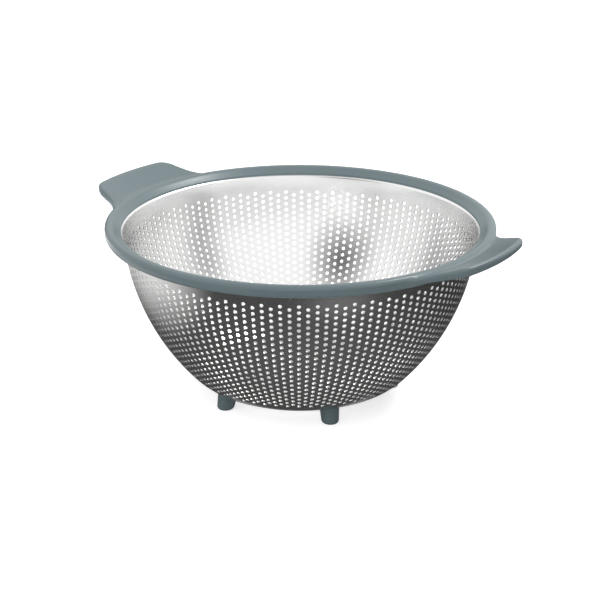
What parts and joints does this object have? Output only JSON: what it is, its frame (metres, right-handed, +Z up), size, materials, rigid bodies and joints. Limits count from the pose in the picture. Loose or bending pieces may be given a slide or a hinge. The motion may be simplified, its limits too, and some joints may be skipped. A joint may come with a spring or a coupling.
{
  "type": "colander",
  "caption": "Round deep kitchen colander: perforated steel bowl, moulded grey-green rim with two flared handles, and short pegs as feet.",
  "frame": {"origin": "middle of the base on the plane that the feet stand on", "axes": "+X from the left handle to the right one, +Z up along the axis of the bowl"},
  "size_m": [0.2934, 0.2492, 0.1225],
  "materials": {
    "steel": "polished inside and out, with a soft sheen",
    "plastic": "smooth matte grey-green moulding",
    "rivet_steel": "satin"
  },
  "bodies": {
    "root": {"bowl": "steel", "handle_rim": "plastic", "foot_1": "plastic", "foot_2": "plastic", "foot_3": "plastic", "foot_4": "plastic", "foot_5": "plastic", "foot_rivets": "rivet_steel"}
  },
  "joints": []
}
